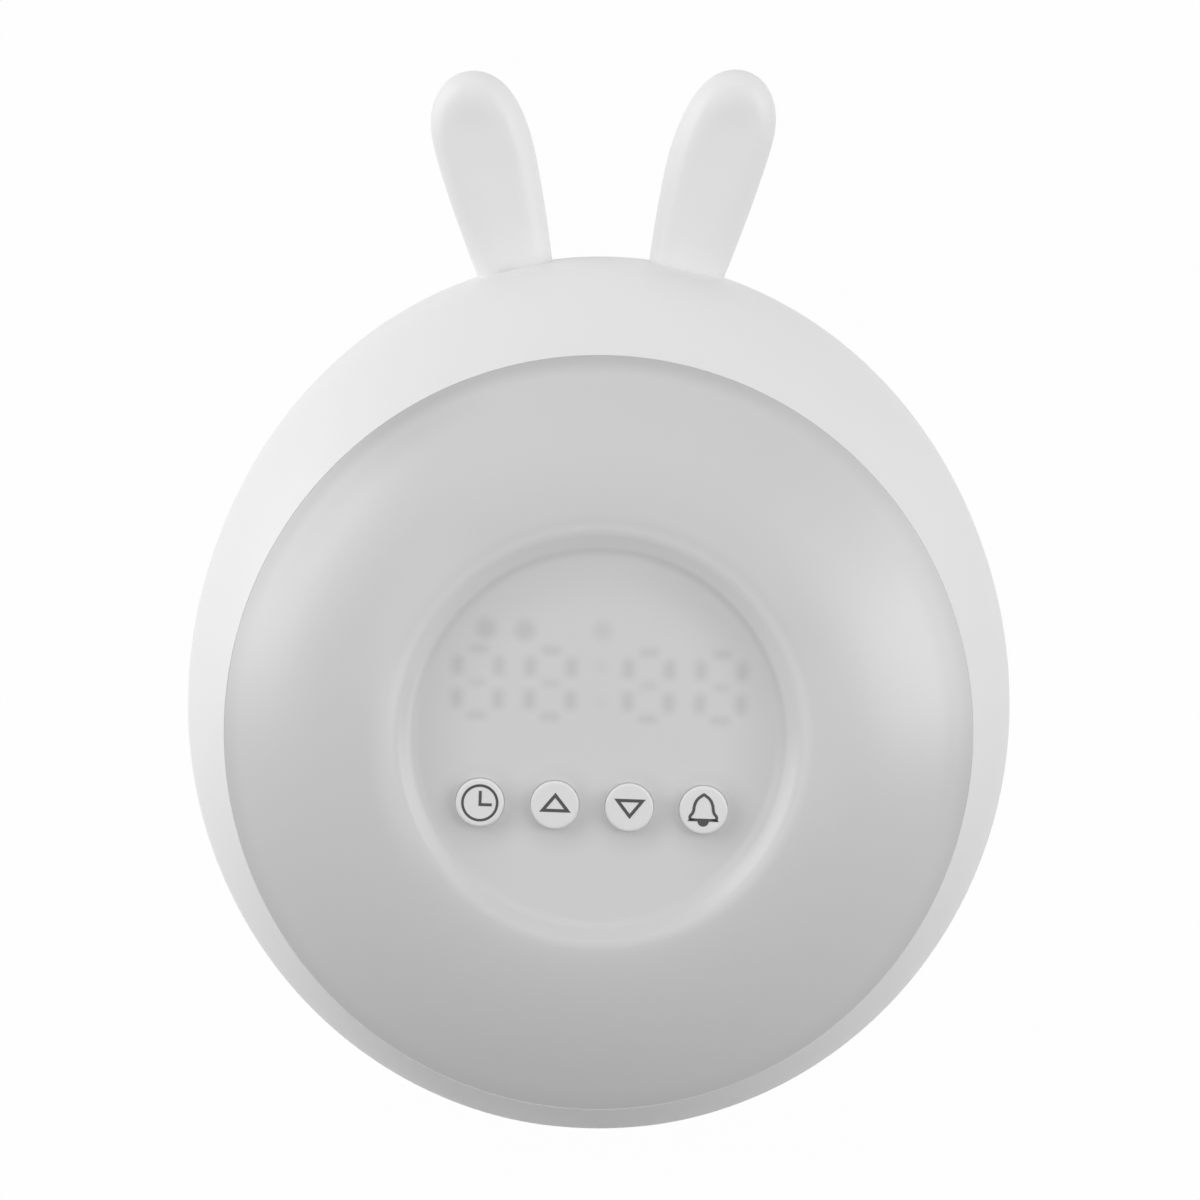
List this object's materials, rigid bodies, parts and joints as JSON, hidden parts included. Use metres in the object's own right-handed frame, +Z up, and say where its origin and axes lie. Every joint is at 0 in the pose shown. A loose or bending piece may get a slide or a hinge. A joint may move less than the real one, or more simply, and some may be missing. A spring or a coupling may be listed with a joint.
{
  "type": "kids alarm clock with night light",
  "caption": "Round white bedside alarm clock with two upright ears, a domed frosted night-light face, a recessed dial with a hidden digital display and a row of round push keys.",
  "frame": {"origin": "middle of the bounding box in X and Y, on the surface the rubber feet stand on", "axes": "+X to the right as the clock is faced, -Y towards the person who reads it, +Z up"},
  "size_m": [0.1648, 0.107, 0.2074],
  "materials": {
    "shell_white": "satin moulded, white",
    "diffuser_milk": "frosted translucent, milky",
    "frame_white": "plain moulded, white",
    "key_white": "satin moulded, white, printed mark",
    "board_white": "white solder mask",
    "board_green": "green solder mask",
    "led_yellow": "phosphor coated",
    "led_white": "clear coated",
    "black_plastic": "plain moulded, black",
    "plunger_cream": "plain moulded, cream",
    "header_cream": "plain moulded, cream",
    "bright_steel": "plated",
    "magnet_steel": "plated",
    "screw_steel": "zinc plated",
    "cone_grey": "pressed paper",
    "foot_rubber": "soft, pale grey",
    "lead_grey": "flat lead, grey",
    "lead_red": "flat lead, red"
  },
  "bodies": {
    "clock": {"front_housing": "shell_white", "rear_housing": "shell_white", "left_ear": "shell_white", "right_ear": "shell_white", "diffuser": "diffuser_milk", "inner_frame": "frame_white", "light_board": "board_white", "light_leds": "led_yellow", "display_board": "board_green", "segment_mask": "black_plastic", "segment_leds": "led_white", "key_switches": "black_plastic", "display_header": "header_cream", "main_board": "board_green", "main_chips": "black_plastic", "board_headers": "header_cream", "usb_socket": "bright_steel", "light_switch": "black_plastic", "cell_holder": "black_plastic", "coin_cell": "bright_steel", "speaker_frame": "black_plastic", "speaker_cone": "cone_grey", "speaker_magnet": "magnet_steel", "speaker_retainer": "frame_white", "housing_screws": "screw_steel", "frame_screws": "screw_steel", "board_screws": "screw_steel", "ear_screws": "screw_steel", "retainer_screws": "screw_steel", "display_screws": "screw_steel", "light_board_screws": "screw_steel", "rubber_feet": "foot_rubber", "display_cable": "lead_grey", "light_lead": "lead_grey", "speaker_lead": "lead_red"},
    "time_key": {"time_key": "key_white", "time_plunger": "plunger_cream"},
    "up_key": {"up_key": "key_white", "up_plunger": "plunger_cream"},
    "down_key": {"down_key": "key_white", "down_plunger": "plunger_cream"},
    "alarm_key": {"alarm_key": "key_white", "alarm_plunger": "plunger_cream"},
    "light_key": {"light_key": "key_white", "light_plunger": "plunger_cream"},
    "battery_door": {"battery_door": "shell_white"}
  },
  "joints": [
    {"name": "time_key_press", "type": "slide", "parent": "clock", "child": "time_key", "axis": [0, 0.9781, -0.2079], "range_m": [0, 0.0004], "stiffness_N_per_m": 2500, "springref_m": -0.0002},
    {"name": "up_key_press", "type": "slide", "parent": "clock", "child": "up_key", "axis": [0, 0.9781, -0.2079], "range_m": [0, 0.0004], "stiffness_N_per_m": 2500, "springref_m": -0.0002},
    {"name": "down_key_press", "type": "slide", "parent": "clock", "child": "down_key", "axis": [0, 0.9781, -0.2079], "range_m": [0, 0.0004], "stiffness_N_per_m": 2500, "springref_m": -0.0002},
    {"name": "alarm_key_press", "type": "slide", "parent": "clock", "child": "alarm_key", "axis": [0, 0.9781, -0.2079], "range_m": [0, 0.0004], "stiffness_N_per_m": 2500, "springref_m": -0.0002},
    {"name": "light_key_press", "type": "slide", "parent": "clock", "child": "light_key", "axis": [0, -1, 0], "range_m": [0, 0.0004], "stiffness_N_per_m": 2500, "springref_m": -0.0002},
    {"name": "battery_door_pull", "type": "slide", "parent": "clock", "child": "battery_door", "axis": [0, 1, 0], "range_m": [0, 0.018]}
  ]
}
